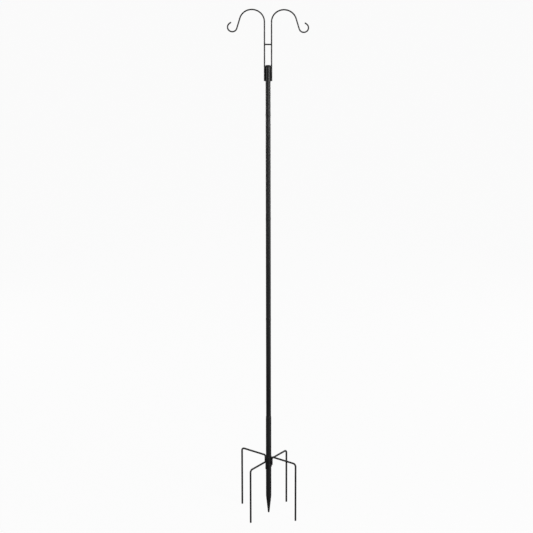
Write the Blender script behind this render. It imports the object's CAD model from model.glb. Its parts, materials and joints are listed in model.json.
"""Looks of the double shepherd's hook garden pole: finely rounded rods and tubes under a satin
powder coat, weld beads, a moulded cap, a pale floor, soft light and the camera. Metres, +Z up."""

import json
import math

import bmesh
import bpy
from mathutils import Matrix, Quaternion, Vector


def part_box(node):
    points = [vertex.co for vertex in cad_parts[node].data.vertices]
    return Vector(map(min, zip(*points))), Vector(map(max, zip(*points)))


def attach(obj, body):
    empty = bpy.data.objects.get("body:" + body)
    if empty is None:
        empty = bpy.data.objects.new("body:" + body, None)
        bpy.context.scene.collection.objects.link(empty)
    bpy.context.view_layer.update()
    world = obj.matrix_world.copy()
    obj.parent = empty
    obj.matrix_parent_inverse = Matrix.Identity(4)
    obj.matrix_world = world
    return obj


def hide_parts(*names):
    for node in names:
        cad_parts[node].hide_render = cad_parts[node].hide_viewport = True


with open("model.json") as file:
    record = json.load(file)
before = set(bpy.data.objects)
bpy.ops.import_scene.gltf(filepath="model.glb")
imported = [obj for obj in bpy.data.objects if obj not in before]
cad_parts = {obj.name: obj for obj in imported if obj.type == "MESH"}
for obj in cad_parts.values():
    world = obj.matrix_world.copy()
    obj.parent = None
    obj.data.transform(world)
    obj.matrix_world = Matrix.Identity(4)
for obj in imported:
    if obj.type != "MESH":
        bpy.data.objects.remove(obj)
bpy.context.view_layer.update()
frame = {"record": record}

# Shapes that the frame's boxes don't give. The cap's dish is a share of the cap's radius.
POLE_WALL = 0.0010
MOUTH_FLARE = 0.0004
MOUTH_FLARE_LENGTH = 0.010
MOUTH_LIP_LENGTH = MOUTH_FLARE_LENGTH / 3
BEAD_HEIGHT = 0.005
STOP_BEAD_LIFT = 0.0008
SLIP_CLEARANCE = 0.0002
SHOULDER_LENGTH = 0.003
SPIGOT_ROUNDING = 0.0007
TAPER_LENGTH = 0.084
TAPER_ROUNDING = 0.006
SPIKE_END_RADIUS = 0.0034
SPIKE_END_ROUNDING = 0.0016
SPIKE_CAVITY_FLOOR = 0.070
PRONG_ROD_RADIUS = 0.0040
PRONG_INNER_LEG = 0.0380
PRONG_INNER_BEND = 0.0085
PRONG_OUTER_BEND = 0.0125
PRONG_END_ROUNDING = 0.0022
HOOK_ARC_RADIUS = 0.0528
HOOK_SLANT = math.radians(16.5)
CROOK_RADIUS = 0.0198
CROOK_TIP_LEAN = math.radians(53.0)
CROOK_TIP_LENGTH = 0.010
CUT_ROUNDING = 0.0006
EDGE_ROUNDING = 0.0006
SLEEVE_ROUNDING = 0.0003
CAP_DISH = 0.62
CAP_DISH_EDGE = 0.72
GAP = 0.0003

# Welds. The ripple is one puddle's length. Its depth and the seat are shares of the bead's
# radius, and the seat is how far the bead's middle stands off the surfaces that it joins. A
# stitch is a share of its seam.
WELD_RIPPLE = 0.0016
WELD_RIPPLE_DEPTH = 0.09
WELD_RIPPLE_STEPS = 6
WELD_STITCH = 0.20
WELD_END_SHARE = 0.05
WELD_SEAT = 0.45
ROD_WELD_RADIUS = 0.0012
RING_WELD_RADIUS = 0.0014
SLEEVE_WELD_RADIUS = 0.0009
SPREADER_WELD_RADIUS = 0.0011
SPREADER_WELD_WRAP = 0.8
SEAM_RADIUS = 0.0007

# Wear, from 0, untouched coat, to 1, an edge that is rubbed down. The spike's scuff ends at a
# share of its taper.
LIP_WEAR = 0.8
LIP_WEAR_REACH = 0.002
BEAD_WEAR = 0.5
FOOT_WEAR = 0.3
RING_WEAR = 0.9
WELD_WEAR = 0.2
SPIKE_SCUFF = 0.12
SPIKE_SCUFF_WEAR = 0.2
SPIKE_POINT_WEAR = 0.6
CAP_RIM_WEAR = 0.8
CAP_UNDER_WEAR = 0.2

# Fineness of the visible meshes. A straight run longer than BRACED_RUN gets a row BRACE from
# each of its ends. The first ring of a half-ball end is a share of the rod's radius.
TURN_STEPS = 96
ROD_SIDES = 28
WELD_SIDES = 12
ARC_STEP = math.radians(3.0)
ROUNDING_STEPS = 8
BRACE = 0.001
BRACED_RUN = 0.004
ROD_END_SHARE = 0.04
SHARP_ANGLE = math.radians(38.0)
AXIS_RADIUS = 1e-6

# Camera
CAMERA_DISTANCE = 10.877
CAMERA_AZIMUTH = math.radians(2.3)
CAMERA_ELEVATION = math.radians(20.07)
CAMERA_ORBIT_HEIGHT = 1.2190
CAMERA_AIM_HEIGHT = 1.1840
CAMERA_AIM_LEFT = 0.0080
CAMERA_ROLL = math.radians(-0.10)
CAMERA_LENS = 168.73
SENSOR_WIDTH = 36.0

# Floor and light. A softbox is (name, azimuth, height, width, height of its face, watts).
FLOOR_SIZE = 70.0
FLOOR_SEGMENTS = 8
FLOOR_GLOW = 0.955
FLOOR_GREY = 0.03
FLOOR_BOUNCE = 0.12
BACKDROP_GREY = 0.97
ROOM_GREY = 0.12
LIGHT_DISTANCE = 3.4
SOFTBOXES = (
    ("key_right", 48.0, 1.8, 0.7, 2.0, 90.0),
    ("fill_left", -60.0, 1.3, 0.5, 1.8, 26.0),
    ("rim_right", 138.0, 1.5, 0.7, 2.0, 40.0),
    ("rim_left", -138.0, 1.4, 0.6, 1.8, 26.0),
)

# A powder coat is (name, colour, mean roughness, depth of its orange peel in metres, how much
# pale dust lies on its top).
BASE_COAT = ("base_coat_powder", (0.0125, 0.0125, 0.0130), 0.50, 0.00011, 0.10)
POLE_COAT = ("pole_coat_powder", (0.0135, 0.0135, 0.0140), 0.40, 0.00008, 0.04)
HOOK_COAT = ("hook_coat_powder", (0.0130, 0.0130, 0.0135), 0.42, 0.00008, 0.04)

# Surfaces. A scale is noise features to the metre. A pair is a range, and a pair called WITHIN
# is the stretch of the noise, the wear or the slope that is mapped onto a range.
WHOLE = (0.0, 1.0)
NOISE_WITHIN = (0.3, 0.7)
SOFT_DETAIL = 2.0
CLOUD_DETAIL = 3.0
SPECK_DETAIL = 4.0
CLOUD_SCALE = 7.0
CLOUD_STRETCH = (1.0, 1.0, 0.35)
CLOUD_SHADES = (0.72, 1.35)
CLOUD_ROUGHNESS = (-0.05, 0.06)
FINE_SCALE = 1500.0
FINE_ROUGHNESS = (-0.03, 0.03)
FINE_BUMP = 0.3
FINE_SHALLOWER = 3
PEEL_SCALE = 650.0
PEEL_BUMP = 0.5
SPECK_COLOUR = (0.030, 0.030, 0.031, 1.0)
SPECK_SCALE = 2600.0
SPECK_AMOUNT = (0.0, 0.35)
SPECK_WITHIN = (0.55, 0.75)
WORN_STEEL = (0.16, 0.155, 0.15, 1.0)
WORN_SCALE = 420.0
WORN_AMOUNT = (0.0, 0.55)
WORN_WITHIN = (0.35, 0.85)
WORN_METALLIC = 0.6
WORN_ROUGHNESS = -0.10
DUST_COLOUR = (0.26, 0.24, 0.21, 1.0)
DUST_WITHIN = (0.2, 1.0)
COAT_SPECULAR = 0.5
PLASTIC_DARK = (0.010, 0.010, 0.011, 1.0)
PLASTIC_LIGHT = (0.022, 0.022, 0.023, 1.0)
PLASTIC_CLOUD_SCALE = 60.0
PLASTIC_SKIN_SCALE = 2200.0
PLASTIC_SKIN_BUMP = 0.4
PLASTIC_SKIN_DEPTH = 0.00005
PLASTIC_ROUGHNESS = (0.48, 0.66)
PLASTIC_SCUFF = (0.10, 0.10, 0.10, 1.0)
PLASTIC_SCUFF_SCALE = 500.0
PLASTIC_SCUFF_AMOUNT = (0.0, 0.5)
PLASTIC_SCUFF_WITHIN = (0.45, 0.7)

RIGHT = Vector((1.0, 0.0, 0.0))
BACK = Vector((0.0, 1.0, 0.0))
UP = Vector((0.0, 0.0, 1.0))


# ---------------------------------------------------------------------- outlines and meshes
# Outlines for turned pieces are lists of (radius, height, wear).


def round_over(first, last, lift, wear):
    """Outline points from one (radius, height) to another that bow out to the side by lift."""
    (first_radius, first_height), (last_radius, last_height) = first, last
    run_radius, run_height = last_radius - first_radius, last_height - first_height
    length = math.hypot(run_radius, run_height)
    out_radius, out_height = -run_height / length, run_radius / length
    points = []
    for step in range(ROUNDING_STEPS + 1):
        turn = math.pi * step / ROUNDING_STEPS
        along, bulge = (1 - math.cos(turn)) / 2, lift * math.sin(turn)
        radius = first_radius + run_radius * along + out_radius * bulge
        height = first_height + run_height * along + out_height * bulge
        points.append((radius, height, wear * math.sin(turn)))
    return points


def ease(first, last):
    """Unworn outline points that swing smoothly from one (radius, height) to another."""
    points = []
    for step in range(ROUNDING_STEPS + 1):
        share = step / ROUNDING_STEPS
        swing = (1 - math.cos(math.pi * share)) / 2
        radius = first[0] + (last[0] - first[0]) * swing
        points.append((radius, first[1] + (last[1] - first[1]) * share, 0.0))
    return points


def corner(before, point, after, rounding, wear):
    """Outline points that round a corner, in place of its sharp (radius, height) point."""
    place = Vector(point)
    start = place + rounding * (Vector(before) - place).normalized()
    end = place + rounding * (Vector(after) - place).normalized()
    points = []
    for step in range(ROUNDING_STEPS + 1):
        share = step / ROUNDING_STEPS
        spot = start * (1 - share) ** 2 + place * 2 * share * (1 - share) + end * share**2
        points.append((spot.x, spot.y, wear * math.sin(math.pi * share)))
    return points


def rounded_outline(corners):
    """A closed outline from (radius, height, rounding, wear) corners, each one rounded."""
    outline = []
    count = len(corners)
    for index, (radius, height, rounding, wear) in enumerate(corners):
        before, after = corners[index - 1][:2], corners[(index + 1) % count][:2]
        if rounding:
            outline += corner(before, (radius, height), after, rounding, wear)
        else:
            outline.append((radius, height, wear))
    return outline


def start_shape():
    """An empty bmesh with a wear value on each vertex."""
    shape = bmesh.new()
    shape.verts.layers.float.new("wear")
    return shape


def add_ring(shape, points, wear):
    """Vertices that all carry one wear value."""
    layer = shape.verts.layers.float["wear"]
    ring = [shape.verts.new(point) for point in points]
    for vertex in ring:
        vertex[layer] = wear
    return ring


def join_rings(shape, first, second):
    """Faces between two rings. Either may be a single point, which makes a fan."""
    for index in range(max(len(first), len(second))):
        after = index + 1
        around = [first[index % len(first)], first[after % len(first)]]
        around += [second[after % len(second)], second[index % len(second)]]
        shape.faces.new(list(dict.fromkeys(around)))


def braced(rows, distance):
    """Rows with one more near both ends of every long straight run, so that smooth shading
    stays even along the run. Distance measures from one row to the next."""
    result = [rows[0]]
    for first, last in zip(rows, rows[1:]):
        span = distance(first, last)
        if span > BRACED_RUN:
            for share in (BRACE / span, 1 - BRACE / span):
                result.append(tuple(a + (b - a) * share for a, b in zip(first, last)))
        result.append(last)
    return result


def outline_distance(first, last):
    """How far apart two rows of an outline are."""
    return math.dist(first[:2], last[:2])


def route_distance(first, last):
    """How far apart two rows of a route are."""
    return (last[0] - first[0]).length


def turned(outline, closed):
    """A bmesh turned about Z. An outline that isn't closed starts and ends on the axis."""
    shape = start_shape()
    rings = []
    for radius, height, wear in braced(outline, outline_distance):
        steps = TURN_STEPS if radius > AXIS_RADIUS else 1
        turns = [math.tau * step / steps for step in range(steps)]
        places = [(radius * math.cos(t), radius * math.sin(t), height) for t in turns]
        rings.append(add_ring(shape, places, wear))
    if closed:
        rings.append(rings[0])
    for first, second in zip(rings, rings[1:]):
        join_rings(shape, first, second)
    return shape


def sweep(shape, rows, sides, across, closed=False):
    """Adds a tube along rows of (point, radius, wear). Across is a direction that the route
    never takes, and it keeps the rings from twisting."""
    count = len(rows)
    rings = []
    for index, (point, radius, wear) in enumerate(rows):
        behind, ahead = (index - 1) % count, (index + 1) % count
        if not closed:
            behind, ahead = max(index - 1, 0), min(index + 1, count - 1)
        along = rows[ahead][0] - rows[behind][0]
        side = along.cross(across).normalized()
        up = side.cross(along).normalized()
        turns = [math.tau * step / sides for step in range(sides)]
        places = [point + radius * (side * math.cos(t) + up * math.sin(t)) for t in turns]
        rings.append(add_ring(shape, places, wear))
    if closed:
        rings.append(rings[0])
    else:
        shape.faces.new(rings[0])
        shape.faces.new(rings[-1])
    for first, second in zip(rings, rings[1:]):
        join_rings(shape, first, second)


def arc(centre, radius, start, end):
    """Points on a circle in the XZ plane, from one angle to another, both included."""
    count = max(2, math.ceil(abs(end - start) / ARC_STEP))
    angles = [start + (end - start) * step / count for step in range(count + 1)]
    return [centre + radius * Vector((math.cos(a), 0.0, math.sin(a))) for a in angles]


def fillet(before, point, after, radius):
    """Points that round one right-angled corner of a bent rod."""
    arrive = (point - before).normalized()
    leave = (after - point).normalized()
    centre = point + radius * (leave - arrive)
    count = math.ceil(math.pi / 2 / ARC_STEP)
    turns = [math.pi / 2 * step / count for step in range(count + 1)]
    return [centre + radius * (arrive * math.sin(t) - leave * math.cos(t)) for t in turns]


def end_rows(end, inner, radius, rounding):
    """Rows that close a rod, from its end face inwards. Rounding is the reach of the rounded
    edge, and a rounding of the whole radius makes a half ball. The coat is rubbed there."""
    inward = (inner - end).normalized()
    narrowest = max(radius - rounding, radius * ROD_END_SHARE)
    rows = []
    for step in range(ROUNDING_STEPS + 1):
        turn = math.pi / 2 * step / ROUNDING_STEPS
        size = narrowest + (radius - narrowest) * math.sin(turn)
        rows.append((end + inward * rounding * (1 - math.cos(turn)), size, 1.0))
    rows.append((end + inward * (rounding + radius), radius, 0.0))
    return rows


def rod_rows(points, radius, first_rounding, last_rounding):
    """Rows of (point, radius, wear) for a whole rod along a route."""
    head = end_rows(points[0], points[1], radius, first_rounding)
    tail = end_rows(points[-1], points[-2], radius, last_rounding)
    rows = head + [(point, radius, 0.0) for point in points[1:-1]] + tail[::-1]
    return braced(rows, route_distance)


def finished(name, shape, material, body, replaced=()):
    """Makes a bmesh a shaded piece that rides on a CAD body."""
    bmesh.ops.recalc_face_normals(shape, faces=shape.faces)
    mesh = bpy.data.meshes.new(name)
    shape.to_mesh(mesh)
    shape.free()
    mesh.shade_smooth()
    mesh.set_sharp_from_angle(angle=SHARP_ANGLE)
    mesh.materials.append(material)
    piece = bpy.data.objects.new(name, mesh)
    bpy.context.scene.collection.objects.link(piece)
    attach(piece, body)
    if replaced:
        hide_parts(*replaced)


# ------------------------------------------------------------------- tubes and turned pieces


def half_width(node):
    """The outer radius of a turned node."""
    low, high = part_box(node)
    return (high.x - low.x) / 2


POLE_RADIUS = half_width("upper_tube") - MOUTH_FLARE
POLE_BORE = POLE_RADIUS - POLE_WALL
SPIGOT_RADIUS = POLE_BORE - SLIP_CLEARANCE
SPIKE_RADIUS = half_width("spike_tube")
SPIKE_BORE = POLE_RADIUS + SLIP_CLEARANCE


def lip_outline(bore, outer, top):
    """The rolled rim of a tube, from its bore to its outer side."""
    half_wall = (outer - bore) / 2
    return round_over((bore, top - half_wall), (outer, top - half_wall), half_wall, LIP_WEAR)


def mouth_outline(top):
    """A tube's flared mouth, from its bore over the rolled lip and down its outer side."""
    low, lip = top - MOUTH_FLARE_LENGTH, top - MOUTH_LIP_LENGTH
    inner, outer = POLE_BORE + MOUTH_FLARE, POLE_RADIUS + MOUTH_FLARE
    points = ease((POLE_BORE, low), (inner, lip))
    return points + lip_outline(inner, outer, top) + ease((outer, lip), (POLE_RADIUS, low))


def bead_outline(joint, lift):
    """The rolled bead just above a slip joint, down its outside."""
    low = joint + GAP
    return round_over((POLE_RADIUS, low + BEAD_HEIGHT), (POLE_RADIUS, low), lift, BEAD_WEAR)


def foot_outline(radius, start, end):
    """A tube's foot inside the section below: its outside, its end and its bore's end."""
    bore = radius - POLE_WALL
    points = [(radius, start, FOOT_WEAR)]
    points += corner((radius, start), (radius, end), (bore, end), SPIGOT_ROUNDING, 1.0)
    return points + [(bore, end, FOOT_WEAR)]


def section_tube(node, below, body, coat):
    """One pole tube, from its mouth or, in the head, its plain top, down to its foot."""
    end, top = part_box(node)[0].z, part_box(node)[1].z
    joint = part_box(below)[1].z
    if node == "head_tube":
        outline = [(POLE_BORE, top, 0.0), (POLE_RADIUS, top, 0.0)]
    else:
        outline = mouth_outline(top)
    if below == "spike_tube":
        outline += bead_outline(joint, STOP_BEAD_LIFT)
        outline += foot_outline(POLE_RADIUS, joint, end)
    else:
        shoulder = joint + SHOULDER_LENGTH
        outline += bead_outline(joint, MOUTH_FLARE)
        outline += foot_outline(SPIGOT_RADIUS, joint + GAP, end)
        narrow = (SPIGOT_RADIUS - POLE_WALL, shoulder)
        outline += ease(narrow, (POLE_BORE, shoulder + SHOULDER_LENGTH))
    finished(f"coated_{node}", turned(outline, closed=True), coat, body, [node])


def spike(coat):
    """The wide bottom tube, drawn down to a blunt point."""
    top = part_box("spike_tube")[1].z
    shoulder, point = (SPIKE_RADIUS, TAPER_LENGTH), (SPIKE_END_RADIUS, 0.0)
    outline = [(0.0, SPIKE_CAVITY_FLOOR, 0.0), (SPIKE_BORE, TAPER_LENGTH, 0.0)]
    outline += lip_outline(SPIKE_BORE, SPIKE_RADIUS, top)
    outline += [(SPIKE_RADIUS, top - LIP_WEAR_REACH, 0.0)]
    outline += corner((SPIKE_RADIUS, top), shoulder, point, TAPER_ROUNDING, 0.0)
    scuff = Vector(point).lerp(Vector(shoulder), SPIKE_SCUFF)
    outline.append((scuff.x, scuff.y, SPIKE_SCUFF_WEAR))
    outline += corner(shoulder, point, (0.0, 0.0), SPIKE_END_ROUNDING, 1.0)
    outline.append((0.0, 0.0, SPIKE_POINT_WEAR))
    shape = turned(outline, closed=False)
    finished("coated_spike_tube", shape, coat, "ground_base", ["spike_tube"])


def ring_piece(node, bore, rounding, coat, body):
    """The sleeve or the collar: a plain ring with softly rounded outer edges."""
    low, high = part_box(node)
    outer = half_width(node)
    corners = [
        (bore, high.z, 0.0, 0.0),
        (outer, high.z, rounding, RING_WEAR),
        (outer, low.z, rounding, RING_WEAR),
        (bore, low.z, 0.0, 0.0),
    ]
    shape = turned(rounded_outline(corners), closed=True)
    finished(f"coated_{node}", shape, coat, body, [node])


def sleeve_cap(plastic):
    """The moulded plug on top of the sleeve: a shallow dished disc over a stub."""
    low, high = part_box("sleeve_cap")
    rim = half_width("sleeve_cap")
    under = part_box("hook_sleeve")[1].z + GAP
    hollow = high.z - EDGE_ROUNDING
    outline = [(0.0, hollow, 0.0)]
    outline += ease((rim * CAP_DISH, hollow), (rim * CAP_DISH_EDGE, high.z))
    outline += corner((0.0, high.z), (rim, high.z), (rim, under), EDGE_ROUNDING, CAP_RIM_WEAR)
    outline += [(rim, under, CAP_UNDER_WEAR), (SPIGOT_RADIUS, under, 0.0)]
    outline += [(SPIGOT_RADIUS, low.z, 0.0), (0.0, low.z, 0.0)]
    shape = turned(outline, closed=False)
    finished("moulded_sleeve_cap", shape, plastic, "hook_head", ["sleeve_cap"])


# ------------------------------------------------------------------------------ bent rods


def hook_route(rod_radius):
    """The centre line of the right-hand hook, from its foot on the sleeve to its tip."""
    low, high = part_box("hook_right")
    offset = low.x + rod_radius
    arc_centre = Vector((offset + HOOK_ARC_RADIUS, 0.0, high.z - rod_radius - HOOK_ARC_RADIUS))
    outward = Vector((math.cos(HOOK_SLANT), 0.0, math.sin(HOOK_SLANT)))
    downward = Vector((math.sin(HOOK_SLANT), 0.0, -math.cos(HOOK_SLANT)))
    leave = arc_centre + HOOK_ARC_RADIUS * outward
    crook_x = high.x - rod_radius - CROOK_RADIUS
    slant_length = (crook_x - leave.x - CROOK_RADIUS * outward.x) / downward.x
    crook_centre = leave + slant_length * downward + CROOK_RADIUS * outward
    route = [Vector((offset, 0.0, low.z))]
    route += arc(arc_centre, HOOK_ARC_RADIUS, math.pi, HOOK_SLANT)
    route += arc(crook_centre, CROOK_RADIUS, math.pi + HOOK_SLANT, math.tau + CROOK_TIP_LEAN)
    tip_way = Vector((-math.sin(CROOK_TIP_LEAN), 0.0, math.cos(CROOK_TIP_LEAN)))
    route.append(route[-1] + CROOK_TIP_LENGTH * tip_way)
    return route


def hook(node, side, coat):
    """One bent hook: side is 1 for the right-hand one and -1 for its mirror image."""
    low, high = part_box(node)
    radius = (high.y - low.y) / 2
    route = [Vector((side * point.x, 0.0, point.z)) for point in hook_route(radius)]
    shape = start_shape()
    rows = rod_rows(route, radius, CUT_ROUNDING, radius)
    sweep(shape, rows, ROD_SIDES, BACK)
    finished(f"coated_{node}", shape, coat, "hook_head", [node])


def spreader(coat):
    """The short bar between the hook rods, its ends sunk in its welds."""
    low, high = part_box("spreader_bar")
    middle = (low + high) / 2
    radius = (high.z - low.z) / 2
    reach = Vector((high.x + radius, 0.0, 0.0))
    shape = start_shape()
    rows = rod_rows([middle - reach, middle, middle + reach], radius, CUT_ROUNDING, CUT_ROUNDING)
    sweep(shape, rows, ROD_SIDES, BACK)
    finished("coated_spreader_bar", shape, coat, "hook_head", ["spreader_bar"])


def prong_place(node):
    """A prong's outward direction, how far its inner leg and its outer leg stand from the
    axis, and the height of its arm's centre line."""
    mount = next(m for m in frame["record"]["mounts"] if m["name"] == f"{node}_end")
    end = Vector(mount["pos_m"])
    start = half_width("prong_collar") + GAP + PRONG_ROD_RADIUS
    return end.normalized(), start, end.length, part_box(node)[1].z - PRONG_ROD_RADIUS


def prong(node, coat):
    """A ground prong: a short leg on the collar, a level arm and a long leg to the ground."""
    outward, start, reach, arm = prong_place(node)
    corners = [
        outward * start + UP * (arm - PRONG_INNER_LEG),
        outward * start + UP * arm,
        outward * reach + UP * arm,
        outward * reach,
    ]
    route = [corners[0]]
    route += fillet(*corners[:3], PRONG_INNER_BEND)
    route += fillet(*corners[1:], PRONG_OUTER_BEND)
    route.append(corners[-1])
    shape = start_shape()
    rows = rod_rows(route, PRONG_ROD_RADIUS, CUT_ROUNDING, PRONG_END_ROUNDING)
    sweep(shape, rows, ROD_SIDES, outward.cross(UP))
    finished(f"coated_{node}", shape, coat, "ground_base", [node])


# ---------------------------------------------------------------------------------- welds


def rippled(radius, puddles):
    """The radius of a weld bead that many puddles from its start: round at each puddle's
    middle, and a notch between puddles."""
    return radius * (1 - WELD_RIPPLE_DEPTH * (1 - abs(math.sin(math.pi * puddles))))


def bead_rows(points, radius):
    """Rows of (point, radius, wear) for a weld bead with rounded ends."""
    rows = []
    travelled = 0.0
    total = sum((after - before).length for before, after in zip(points, points[1:]))
    for index, point in enumerate(points):
        if index:
            travelled += (point - points[index - 1]).length
        share = min(travelled, total - travelled) / radius
        size = rippled(radius, travelled / WELD_RIPPLE)
        size *= math.sqrt(max(WELD_END_SHARE, min(1.0, share)))
        rows.append((point, size, WELD_WEAR))
    return rows


def straight_bead(shape, start, end, radius, across):
    """A straight weld bead with rounded ends."""
    count = math.ceil((end - start).length / WELD_RIPPLE * WELD_RIPPLE_STEPS)
    points = [start.lerp(end, step / count) for step in range(count + 1)]
    sweep(shape, bead_rows(points, radius), WELD_SIDES, across)


def ring_bead(shape, height, ring_radius, radius):
    """A weld bead right round the pole. Its ripples come out even."""
    count = round(math.tau * ring_radius / WELD_RIPPLE) * WELD_RIPPLE_STEPS
    rows = []
    for step in range(count):
        turn = math.tau * step / count
        point = Vector((ring_radius * math.cos(turn), ring_radius * math.sin(turn), height))
        rows.append((point, rippled(radius, step / WELD_RIPPLE_STEPS), WELD_WEAR))
    sweep(shape, rows, WELD_SIDES, UP, closed=True)


def groove(core_radius, rod_radius, rod_offset, bead_radius, side):
    """Where a bead lies in the groove between the pole's ring and a rod beside it: how far
    along the rod's direction, and how far to one side."""
    from_core = core_radius + bead_radius * WELD_SEAT
    from_rod = rod_radius + bead_radius * WELD_SEAT
    along = (from_core**2 - from_rod**2 + rod_offset**2) / (2 * rod_offset)
    return along, side * math.sqrt(from_core**2 - along**2)


def hook_foot_welds(node, direction, coat):
    """The stitch welds that hold a hook's foot to the sleeve, in front and behind, and the
    coat that closes the seam between them."""
    rod_low, rod_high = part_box(node)
    seam_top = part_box("hook_sleeve")[1].z
    rod_radius = (rod_high.y - rod_low.y) / 2
    offset = hook_route(rod_radius)[0].x
    shape = start_shape()
    for side in (-1, 1):
        along, aside = groove(
            half_width("hook_sleeve"), rod_radius, offset, ROD_WELD_RADIUS, side
        )
        place = Vector((direction * along, aside, 0.0))
        for low, high in weld_spans(rod_low.z, seam_top):
            straight_bead(shape, place + UP * low, place + UP * high, ROD_WELD_RADIUS, BACK)
    seam = Vector((direction * (offset - rod_radius), 0.0, 0.0))
    low, high = rod_low.z + WELD_RIPPLE, seam_top - WELD_RIPPLE
    straight_bead(shape, seam + UP * low, seam + UP * high, SEAM_RADIUS, BACK)
    finished(f"welds_{node}", shape, coat, "hook_head")


def weld_spans(low, high):
    """A stitch weld at each end of a seam: its lower and its upper stretch."""
    stitch = (high - low) * WELD_STITCH
    inset = WELD_RIPPLE
    return ((low + inset, low + inset + stitch), (high - inset - stitch, high - inset))


def spreader_welds(coat):
    """A bead round each end of the spreader, which follows the hook rod's round side."""
    low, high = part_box("spreader_bar")
    middle = (low.z + high.z) / 2
    bar_radius = (high.z - low.z) / 2
    rod_low, rod_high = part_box("hook_right")
    rod_radius = (rod_high.y - rod_low.y) / 2
    offset = rod_low.x + rod_radius
    shape = start_shape()
    count = round(math.tau * bar_radius / WELD_RIPPLE) * WELD_RIPPLE_STEPS
    for side in (-1, 1):
        rows = []
        for step in range(count):
            turn = math.tau * step / count
            y, z = bar_radius * math.cos(turn), bar_radius * math.sin(turn)
            x = offset - math.sqrt(rod_radius**2 - (SPREADER_WELD_WRAP * y) ** 2)
            size = rippled(SPREADER_WELD_RADIUS, step / WELD_RIPPLE_STEPS)
            rows.append((Vector((side * x, y, middle + z)), size, WELD_WEAR))
        sweep(shape, rows, WELD_SIDES, RIGHT, closed=True)
    finished("welds_spreader_bar", shape, coat, "hook_head")


def sleeve_weld(coat):
    """The bead where the sleeve's foot meets the head tube."""
    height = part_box("hook_sleeve")[0].z
    ring_radius = POLE_RADIUS + SLEEVE_WELD_RADIUS * WELD_SEAT
    shape = start_shape()
    ring_bead(shape, height, ring_radius, SLEEVE_WELD_RADIUS)
    finished("weld_hook_sleeve", shape, coat, "hook_head")


def collar_welds(coat):
    """The beads where the collar's two ends meet the spike tube."""
    low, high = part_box("prong_collar")
    ring_radius = SPIKE_RADIUS + RING_WELD_RADIUS * WELD_SEAT
    shape = start_shape()
    for height in (low.z, high.z):
        ring_bead(shape, height, ring_radius, RING_WELD_RADIUS)
    finished("welds_prong_collar", shape, coat, "ground_base")


def prong_welds(node, coat):
    """Two beads that hold a prong's inner leg to the collar, one on each side, and the coat
    that closes the seam between them."""
    outward, start, _, arm = prong_place(node)
    collar_low, collar_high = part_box("prong_collar")
    low = max(arm - PRONG_INNER_LEG, collar_low.z) + WELD_RIPPLE
    high = min(arm - PRONG_INNER_BEND, collar_high.z) - WELD_RIPPLE
    shape = start_shape()
    for side in (-1, 1):
        along, aside = groove(
            half_width("prong_collar"), PRONG_ROD_RADIUS, start, ROD_WELD_RADIUS, side
        )
        place = outward * along + outward.cross(UP) * aside
        straight_bead(shape, place + UP * low, place + UP * high, ROD_WELD_RADIUS, outward)
    seam = outward * (start - PRONG_ROD_RADIUS)
    straight_bead(shape, seam + UP * low, seam + UP * high, SEAM_RADIUS, outward)
    finished(f"welds_{node}", shape, coat, "ground_base")


# ------------------------------------------------------------------------------ materials


class Recipe:
    """A material being made. Each call adds one node, with its inputs wired or set."""

    def __init__(self, name):
        self.material = bpy.data.materials.new(name)
        self.material.use_nodes = True
        self.tree = self.material.node_tree
        self.shader = self.tree.nodes["Principled BSDF"]
        self.place = self.node("ShaderNodeTexCoord").outputs["Object"]

    def feed(self, socket, value):
        """Wires an output to an input, or sets the input to a plain value."""
        if isinstance(value, bpy.types.NodeSocket):
            self.tree.links.new(value, socket)
        else:
            socket.default_value = value

    def node(self, kind, inputs=(), **settings):
        """Adds a node of a kind, with its settings."""
        made = self.tree.nodes.new(kind)
        for key, value in settings.items():
            setattr(made, key, value)
        for socket, value in dict(inputs).items():
            self.feed(made.inputs[socket], value)
        return made

    def grain(self, scale, detail=SOFT_DETAIL, stretch=(1.0, 1.0, 1.0)):
        """Noise from 0 to 1, with scale features to the metre."""
        mapped = self.node("ShaderNodeMapping", {"Vector": self.place, "Scale": stretch})
        inputs = {"Vector": mapped.outputs["Vector"], "Scale": scale, "Detail": detail}
        return self.node("ShaderNodeTexNoise", inputs).outputs["Fac"]

    def spread(self, source, onto, within=NOISE_WITHIN):
        """Maps a stretch of a source onto a range."""
        inputs = {"Value": source, "From Min": within[0], "From Max": within[1]}
        inputs.update({"To Min": onto[0], "To Max": onto[1]})
        return self.node("ShaderNodeMapRange", inputs).outputs["Result"]

    def calculate(self, operation, first, second):
        """The sum or the product of two values."""
        inputs = {0: first, 1: second}
        return self.node("ShaderNodeMath", inputs, operation=operation).outputs["Value"]

    def mixed(self, factor, first, second):
        """A colour between two colours."""
        made = self.node("ShaderNodeMix", data_type="RGBA")
        sockets = [socket for socket in made.inputs if socket.enabled]
        for socket, value in zip(sockets, (factor, first, second)):
            self.feed(socket, value)
        return next(socket for socket in made.outputs if socket.enabled)

    def bumped(self, height, strength, distance, normal=None):
        """A surface that rises with a height, on top of another bumped surface if given."""
        inputs = {"Height": height, "Strength": strength, "Distance": distance}
        if normal:
            inputs["Normal"] = normal
        return self.node("ShaderNodeBump", inputs).outputs["Normal"]


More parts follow.
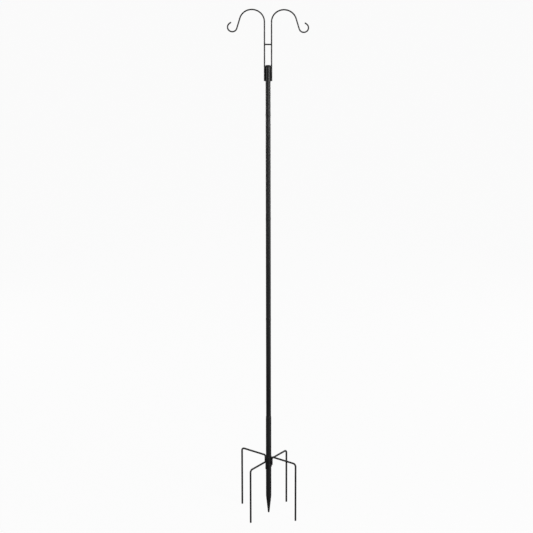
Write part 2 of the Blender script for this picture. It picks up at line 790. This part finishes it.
def powder_coat(name, shade, roughness, peel, dust):
    """Satin black powder coat on steel, mottled and specked, with worn edges and dusty tops."""
    recipe = Recipe(name)
    cloud = recipe.grain(CLOUD_SCALE, CLOUD_DETAIL, CLOUD_STRETCH)
    fine = recipe.grain(FINE_SCALE)
    speck = recipe.grain(SPECK_SCALE, SPECK_DETAIL)
    darker, lighter = (tuple(share * part for part in shade) + (1.0,) for share in CLOUD_SHADES)
    colour = recipe.mixed(recipe.spread(cloud, WHOLE), darker, lighter)
    specked = recipe.spread(speck, SPECK_AMOUNT, SPECK_WITHIN)
    colour = recipe.mixed(specked, colour, SPECK_COLOUR)

    rubbed = recipe.node("ShaderNodeAttribute", attribute_name="wear").outputs["Fac"]
    patches = recipe.spread(recipe.grain(WORN_SCALE), WHOLE)
    patchy = recipe.calculate("MULTIPLY", rubbed, patches)
    worn = recipe.spread(patchy, WORN_AMOUNT, WORN_WITHIN)
    colour = recipe.mixed(worn, colour, WORN_STEEL)

    normal = recipe.node("ShaderNodeNewGeometry").outputs["Normal"]
    upward = recipe.node("ShaderNodeSeparateXYZ", {"Vector": normal}).outputs["Z"]
    level = recipe.spread(upward, (0.0, dust), DUST_WITHIN)
    settled = recipe.calculate("MULTIPLY", level, fine)
    colour = recipe.mixed(settled, colour, DUST_COLOUR)

    uneven = recipe.spread(cloud, [roughness + change for change in CLOUD_ROUGHNESS])
    matt = recipe.calculate("ADD", uneven, recipe.spread(fine, FINE_ROUGHNESS))
    polish = recipe.calculate("MULTIPLY", rubbed, WORN_ROUGHNESS)
    metallic = recipe.calculate("MULTIPLY", worn, WORN_METALLIC)
    waves = recipe.bumped(recipe.grain(PEEL_SCALE), PEEL_BUMP, peel)
    skin = recipe.bumped(fine, FINE_BUMP, peel / FINE_SHALLOWER, waves)
    recipe.feed(recipe.shader.inputs["Base Color"], colour)
    recipe.feed(recipe.shader.inputs["Roughness"], recipe.calculate("ADD", matt, polish))
    recipe.feed(recipe.shader.inputs["Metallic"], metallic)
    recipe.feed(recipe.shader.inputs["Specular IOR Level"], COAT_SPECULAR)
    recipe.feed(recipe.shader.inputs["Normal"], skin)
    return recipe.material


def cap_plastic():
    """Moulded black polyethylene with a spark-eroded skin, scuffed pale round its rim."""
    recipe = Recipe("cap_plastic_moulded")
    cloud = recipe.grain(PLASTIC_CLOUD_SCALE, CLOUD_DETAIL)
    skin = recipe.grain(PLASTIC_SKIN_SCALE, CLOUD_DETAIL)
    colour = recipe.mixed(recipe.spread(cloud, WHOLE), PLASTIC_DARK, PLASTIC_LIGHT)
    rubbed = recipe.node("ShaderNodeAttribute", attribute_name="wear").outputs["Fac"]
    patches = recipe.grain(PLASTIC_SCUFF_SCALE, SPECK_DETAIL)
    scuffs = recipe.spread(patches, PLASTIC_SCUFF_AMOUNT, PLASTIC_SCUFF_WITHIN)
    scuffed = recipe.calculate("MULTIPLY", rubbed, scuffs)
    colour = recipe.mixed(scuffed, colour, PLASTIC_SCUFF)
    eroded = recipe.bumped(skin, PLASTIC_SKIN_BUMP, PLASTIC_SKIN_DEPTH)
    recipe.feed(recipe.shader.inputs["Base Color"], colour)
    recipe.feed(recipe.shader.inputs["Roughness"], recipe.spread(skin, PLASTIC_ROUGHNESS))
    recipe.feed(recipe.shader.inputs["Normal"], eroded)
    return recipe.material


# -------------------------------------------------------------------- floor, light, camera


def only_for_camera(tree, seen, unseen):
    """One shader for what the camera sees and another for what lights and mirrors see."""
    ray = tree.nodes.new("ShaderNodeLightPath").outputs["Is Camera Ray"]
    mix = tree.nodes.new("ShaderNodeMixShader")
    tree.links.new(ray, mix.inputs["Fac"])
    tree.links.new(unseen, mix.inputs[1])
    tree.links.new(seen, mix.inputs[2])
    return mix.outputs["Shader"]


def pale_floor():
    """A large pale floor that throws little light back up, so that the steel stays dark."""
    material = bpy.data.materials.new("floor_paper")
    material.use_nodes = True
    tree = material.node_tree
    tree.nodes.clear()
    glow = tree.nodes.new("ShaderNodeEmission")
    glow.inputs["Color"].default_value = (FLOOR_GLOW, FLOOR_GLOW, FLOOR_GLOW, 1.0)
    paper = tree.nodes.new("ShaderNodeBsdfDiffuse")
    paper.inputs["Color"].default_value = (FLOOR_GREY, FLOOR_GREY, FLOOR_GREY, 1.0)
    both = tree.nodes.new("ShaderNodeAddShader")
    tree.links.new(glow.outputs["Emission"], both.inputs[0])
    tree.links.new(paper.outputs["BSDF"], both.inputs[1])
    dull = tree.nodes.new("ShaderNodeBsdfDiffuse")
    dull.inputs["Color"].default_value = (FLOOR_BOUNCE, FLOOR_BOUNCE, FLOOR_BOUNCE, 1.0)
    output = tree.nodes.new("ShaderNodeOutputMaterial")
    shown = only_for_camera(tree, both.outputs["Shader"], dull.outputs["BSDF"])
    tree.links.new(shown, output.inputs["Surface"])

    shape = bmesh.new()
    bmesh.ops.create_grid(
        shape, x_segments=FLOOR_SEGMENTS, y_segments=FLOOR_SEGMENTS, size=FLOOR_SIZE / 2
    )
    mesh = bpy.data.meshes.new("floor")
    shape.to_mesh(mesh)
    shape.free()
    mesh.materials.append(material)
    floor = bpy.data.objects.new("floor", mesh)
    floor.location.z = -GAP
    bpy.context.scene.collection.objects.link(floor)


def room():
    """A world that is pale to look at and dim to be lit by."""
    world = bpy.data.worlds.new("room")
    bpy.context.scene.world = world
    world.use_nodes = True
    tree = world.node_tree
    seen = tree.nodes["Background"]
    seen.inputs["Color"].default_value = (BACKDROP_GREY, BACKDROP_GREY, BACKDROP_GREY, 1.0)
    unseen = tree.nodes.new("ShaderNodeBackground")
    unseen.inputs["Color"].default_value = (ROOM_GREY, ROOM_GREY, ROOM_GREY, 1.0)
    shown = only_for_camera(tree, seen.outputs["Background"], unseen.outputs["Background"])
    tree.links.new(shown, tree.nodes["World Output"].inputs["Surface"])


def softbox(name, azimuth, height, width, tall, power):
    """An upright soft light that faces the pole. Azimuth 0 is in front, 90 to the right."""
    turn = math.radians(azimuth)
    data = bpy.data.lights.new(name, "AREA")
    data.shape = "RECTANGLE"
    data.size = width
    data.size_y = tall
    data.energy = power
    light = bpy.data.objects.new(name, data)
    outward = Vector((math.sin(turn), -math.cos(turn), 0.0))
    light.location = outward * LIGHT_DISTANCE + UP * height
    light.rotation_euler = outward.to_track_quat("Z", "Y").to_euler()
    light.visible_camera = False
    bpy.context.scene.collection.objects.link(light)


def studio_light():
    """The four softboxes."""
    for name, azimuth, height, width, tall, power in SOFTBOXES:
        softbox(name, azimuth, height, width, tall, power)


def camera():
    """The camera, from the front and above, aimed a little to the left of the pole."""
    data = bpy.data.cameras.new("camera")
    data.lens = CAMERA_LENS
    data.sensor_width = SENSOR_WIDTH
    data.clip_end = 2 * FLOOR_SIZE
    made = bpy.data.objects.new("camera", data)
    level = math.cos(CAMERA_ELEVATION)
    back = Vector((
        math.sin(CAMERA_AZIMUTH) * level,
        -math.cos(CAMERA_AZIMUTH) * level,
        math.sin(CAMERA_ELEVATION),
    ))
    right = Vector((math.cos(CAMERA_AZIMUTH), math.sin(CAMERA_AZIMUTH), 0.0))
    made.location = UP * CAMERA_ORBIT_HEIGHT + back * CAMERA_DISTANCE
    aim = UP * CAMERA_AIM_HEIGHT - right * CAMERA_AIM_LEFT
    upright = (aim - made.location).to_track_quat("-Z", "Y")
    roll = Quaternion((0.0, 0.0, 1.0), CAMERA_ROLL)
    made.rotation_euler = (upright @ roll).to_euler()
    bpy.context.scene.collection.objects.link(made)
    bpy.context.scene.camera = made


# ------------------------------------------------------------------------------- assembly


def ground_base():
    """The spike tube, its collar and its four prongs."""
    coat = powder_coat(*BASE_COAT)
    spike(coat)
    bore = SPIKE_RADIUS + SLIP_CLEARANCE
    ring_piece("prong_collar", bore, EDGE_ROUNDING, coat, "ground_base")
    collar_welds(coat)
    for place in ("front_right", "back_left", "back_right", "front_left"):
        prong(f"prong_{place}", coat)
        prong_welds(f"prong_{place}", coat)


def pole():
    """The four slip-jointed tubes above the spike tube."""
    coat = powder_coat(*POLE_COAT)
    below = "spike_tube"
    for name in ("lower", "middle", "upper"):
        section_tube(f"{name}_tube", below, f"{name}_section", coat)
        below = f"{name}_tube"
    section_tube("head_tube", below, "hook_head", coat)


def head():
    """The sleeve and its cap, the two hooks and the spreader between them."""
    coat = powder_coat(*HOOK_COAT)
    bore = POLE_RADIUS + SLIP_CLEARANCE
    ring_piece("hook_sleeve", bore, SLEEVE_ROUNDING, coat, "hook_head")
    sleeve_weld(coat)
    sleeve_cap(cap_plastic())
    for node, side in (("hook_right", 1), ("hook_left", -1)):
        hook(node, side, coat)
        hook_foot_welds(node, side, coat)
    spreader(coat)
    spreader_welds(coat)


camera()
ground_base()
pole()
head()
pale_floor()
room()
studio_light()
bpy.context.scene.view_settings.view_transform = "Standard"
